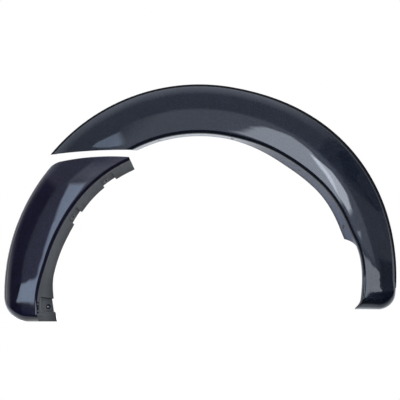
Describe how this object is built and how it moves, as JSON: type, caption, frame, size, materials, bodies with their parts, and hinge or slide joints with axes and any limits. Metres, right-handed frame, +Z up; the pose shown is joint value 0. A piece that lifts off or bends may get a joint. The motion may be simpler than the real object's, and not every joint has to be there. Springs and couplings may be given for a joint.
{
  "type": "wheel arch trim",
  "caption": "Painted wheel arch trim in two mouldings with a rolled lip, an inner return flange with screw holes, a rubber edge seal and push-in clips behind.",
  "frame": {"origin": "middle of the trim's length and depth, at the height of its lowest edge", "axes": "+X along the car from the lower moulding toward the tail, +Z up, +Y inboard toward the body panel; the painted face looks toward -Y"},
  "size_m": [1.0204, 0.0714, 0.617],
  "materials": {
    "upper_paint": "dark navy metallic paint under a gloss clear coat",
    "lower_paint": "dark blue metallic paint under a gloss clear coat, bare grained plastic on the return flange",
    "seal_rubber": "matt black extruded rubber",
    "bare_plastic": "unpainted dark grey moulded plastic"
  },
  "bodies": {
    "root": {"upper_section": "upper_paint", "lower_section": "lower_paint", "edge_seal": "seal_rubber", "upper_clips": "bare_plastic", "lower_clips": "bare_plastic"}
  },
  "joints": []
}
